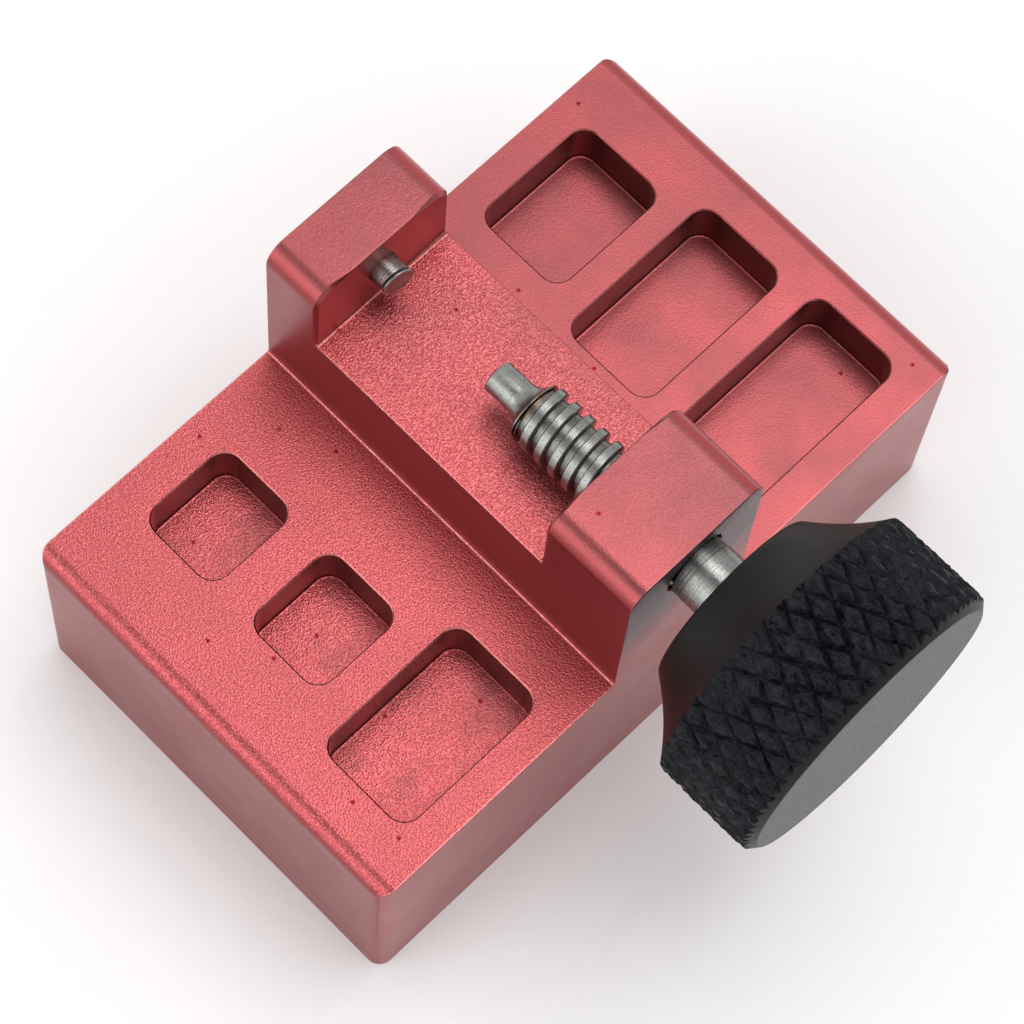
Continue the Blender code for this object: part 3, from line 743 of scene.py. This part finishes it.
row_count = 6
knurl_start = diamond_row_x - 2.5 * diamond_length
base_radius = knob_radius - knurl_depth
bpy.ops.mesh.primitive_cylinder_add(vertices=diamond_count, radius=base_radius, depth=row_count * diamond_length,
                                    end_fill_type="NOTHING", rotation=(0, math.pi / 2, 0),
                                    location=(knurl_start + row_count * diamond_length / 2, 0, axis_height))
knurl = name_new_piece("knurl")
bpy.ops.object.material_slot_add()
bpy.ops.object.material_slot_add()
bake_place(knurl)
bpy.ops.object.mode_set(mode="EDIT")
bpy.ops.mesh.select_mode(type="FACE")
for row in range(1, row_count):
    bisect_all((knurl_start + row * diamond_length, 0, 0), (1, 0, 0))
bpy.ops.object.mode_set(mode="OBJECT")
knurl.data.transform(Matrix.Translation((0, 0, axis_height))
                     @ Matrix.Rotation(diamond_angle, 4, "X") @ Matrix.Translation((0, 0, -axis_height)))
bpy.ops.object.mode_set(mode="EDIT")
bpy.ops.mesh.select_all(action="SELECT")
bpy.ops.mesh.poke()
bpy.ops.object.mode_set(mode="OBJECT")
for vertex in knurl.data.vertices:
    reach = math.hypot(vertex.co.y, vertex.co.z - axis_height)
    vertex.co.y *= base_radius / reach
    vertex.co.z = axis_height + (vertex.co.z - axis_height) * base_radius / reach
bpy.ops.object.mode_set(mode="EDIT")
bpy.ops.mesh.select_mode(type="EDGE")
bpy.ops.mesh.select_all(action="DESELECT")
bpy.ops.object.mode_set(mode="OBJECT")
knurl_end = knurl_start + row_count * diamond_length
for edge in knurl.data.edges:
    one, other = (knurl.data.vertices[index].co for index in edge.vertices)
    runs_along = near(one.y, other.y) and near(one.z, other.z)
    runs_round = near(one.x, other.x) and not near(one.x, knurl_start) and not near(one.x, knurl_end)
    edge.select = runs_along or runs_round
bpy.ops.object.mode_set(mode="EDIT")
bpy.ops.mesh.dissolve_edges(use_verts=False)
bpy.ops.mesh.select_mode(type="FACE")
bpy.ops.mesh.select_all(action="SELECT")
bpy.ops.mesh.inset(thickness=groove_half_width, depth=knurl_depth, use_individual=True)
bpy.ops.mesh.poke()
bpy.ops.mesh.subdivide(number_cuts=2)
bpy.ops.object.mode_set(mode="OBJECT")
tear = random.Random(7)
for vertex in knurl.data.vertices:
    reach = math.hypot(vertex.co.y, vertex.co.z - axis_height)
    torn_share = 1 - torn_depth * tear.random() / reach
    vertex.co.y *= torn_share
    vertex.co.z = axis_height + (vertex.co.z - axis_height) * torn_share
for face in knurl.data.polygons:
    face.material_index = 1
close_and_face_out(knurl)
combine(knob, knurl, "INTERSECT")
shade(knob)


def black_anodising(name, colour, gloss, roughness, grain_scale, grain_depth, cloud_scale, dark_share, chip_colour):
    """Black anodised aluminium: a thin dyed oxide skin with a fine grain and a few pale chips."""
    material, nodes, links, shader, place = new_finish(name, colour, 0.0, roughness)
    shader.inputs["IOR"].default_value = gloss
    grain = noise(nodes, links, place, grain_scale, 3.0, 0.6)
    clouds = noise(nodes, links, place, cloud_scale, 3.0)
    skin = blend_colours(nodes, links, ramp(nodes, links, clouds, 0.35, 0.7), colour,
                         tuple(dark_share * part for part in colour))
    specks = nodes.new("ShaderNodeTexVoronoi")
    specks.inputs["Scale"].default_value = 420
    links.new(place, specks.inputs["Vector"])
    chance = nodes.new("ShaderNodeSeparateColor")
    links.new(specks.outputs["Color"], chance.inputs["Color"])
    is_chip = calculate(nodes, links, "MULTIPLY",
                        ramp(nodes, links, specks.outputs["Distance"], 0.07, 0.04),
                        ramp(nodes, links, chance.outputs["Green"], 0.94, 0.95))
    links.new(blend_colours(nodes, links, is_chip, skin, chip_colour), shader.inputs["Base Color"])
    links.new(ramp(nodes, links, grain, 0.3, 0.7, roughness - 0.07, roughness + 0.07), shader.inputs["Roughness"])
    bump(nodes, links, shader, grain, grain_depth)
    return material


knob.data.materials[0] = black_anodising("black_satin_anodising", (0.006, 0.0058, 0.0055), 1.26, 0.42, 4500,
                                         0.000012, 160, 0.6, (0.25, 0.24, 0.22))
knob.data.materials[1] = black_anodising("black_knurled_anodising", (0.0085, 0.0092, 0.0125), 1.25, 0.40, 1000,
                                         0.00040, 1300, 0.06, (0.16, 0.20, 0.34))
knob.data.materials[1].node_tree.nodes["Principled BSDF"].inputs["Specular Tint"].default_value = (0.90, 0.94, 1, 1)
# The end face is the same black skin; its grey colour paints the pale sheen that light gives it at a grazing angle.
knob.data.materials.append(black_anodising("black_end_face_painted_sheen", (0.085, 0.085, 0.083), 1.40, 0.44, 4500,
                                           0.00010, 3800, 0.25, (0.30, 0.30, 0.28)))
# The flat end face takes the grey finish with the painted sheen.
for face in knob.data.polygons:
    if face.normal.x > 0.95 and face.center.x > knob_face - 0.0001:
        face.material_index = 2
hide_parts("knob")
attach(knob, "screw")


# ---------------------------------------------------------------- studio
# A pale table with a very faint grain, a white room with a dark opening above its front, one large soft light
# overhead and a smaller one low in front.
deselect_all()
bpy.ops.mesh.primitive_plane_add(size=6, location=(0, 0, -0.00002))
table = name_new_piece("studio_table")
table_material, table_nodes, table_links, table_shader, table_place = new_finish(
    "pale_table", (0.84, 0.84, 0.84), 0.0, 0.8)
table_grain = noise(table_nodes, table_links, table_place, 900, 3.0)
table_links.new(blend_colours(table_nodes, table_links, table_grain, (0.85, 0.85, 0.85), (0.83, 0.83, 0.83)),
                table_shader.inputs["Base Color"])
table.data.materials.append(table_material)

room = bpy.data.worlds.new("white_room")
room.use_nodes = True
room_nodes, room_links = room.node_tree.nodes, room.node_tree.links
room_nodes["Background"].inputs["Color"].default_value = (1, 1, 1, 1)
room_place = room_nodes.new("ShaderNodeTexCoord").outputs["Generated"]
room_direction = room_nodes.new("ShaderNodeSeparateXYZ")
room_links.new(room_place, room_direction.inputs["Vector"])
wall_light = ramp(room_nodes, room_links, room_direction.outputs["Z"], 0.0, 0.3, 0.50, 1.00)
dark_opening = room_nodes.new("ShaderNodeVectorMath")
dark_opening.operation = "DOT_PRODUCT"
dark_opening.inputs[1].default_value = (-0.12, -0.285, 0.951)
room_links.new(room_place, dark_opening.inputs[0])
opening_light = ramp(room_nodes, room_links, dark_opening.outputs["Value"], 0.950, 0.985, 1.0, 0.14)
room_links.new(calculate(room_nodes, room_links, "MULTIPLY", wall_light, opening_light),
               room_nodes["Background"].inputs["Strength"])
bpy.context.scene.world = room

softbox = bpy.data.objects.new("softbox", bpy.data.lights.new("softbox", "AREA"))
softbox.data.shape = "DISK"
softbox.data.size = 0.6
softbox.data.energy = 2.5
softbox.location = (0.02, 0.21, 0.90)
softbox.rotation_euler = (Vector((0, 0, 0)) - softbox.location).to_track_quat("-Z", "Y").to_euler()
bpy.context.scene.collection.objects.link(softbox)

front_softbox = bpy.data.objects.new("front_softbox", bpy.data.lights.new("front_softbox", "AREA"))
front_softbox.data.shape = "DISK"
front_softbox.data.size = 0.9
front_softbox.data.energy = 3.0
front_softbox.location = (-0.25, -0.85, 0.32)
front_softbox.rotation_euler = (Vector((0, 0, 0)) - front_softbox.location).to_track_quat("-Z", "Y").to_euler()
bpy.context.scene.collection.objects.link(front_softbox)

view_azimuth, view_elevation, view_roll = (math.radians(angle) for angle in (38.257, 68.729, 7.496))
view_target = Vector((0.013849, -0.015277, 0.063162))
view_distance = 0.290644
back = Vector((math.sin(view_azimuth) * math.cos(view_elevation), -math.cos(view_azimuth) * math.cos(view_elevation),
               math.sin(view_elevation)))
level_right = Vector((math.cos(view_azimuth), math.sin(view_azimuth), 0))
level_up = back.cross(level_right)
right = math.cos(view_roll) * level_right + math.sin(view_roll) * level_up
up = math.cos(view_roll) * level_up - math.sin(view_roll) * level_right
camera = bpy.data.objects.new("camera", bpy.data.cameras.new("camera"))
camera.data.lens = 135.27
camera.data.sensor_width = 36
camera.data.clip_start = 0.01
camera.matrix_world = Matrix.Translation(view_target + view_distance * back) @ Matrix(
    (right, up, back)).transposed().to_4x4()
bpy.context.scene.collection.objects.link(camera)
bpy.context.scene.camera = camera
bpy.context.scene.view_settings.view_transform = "Standard"
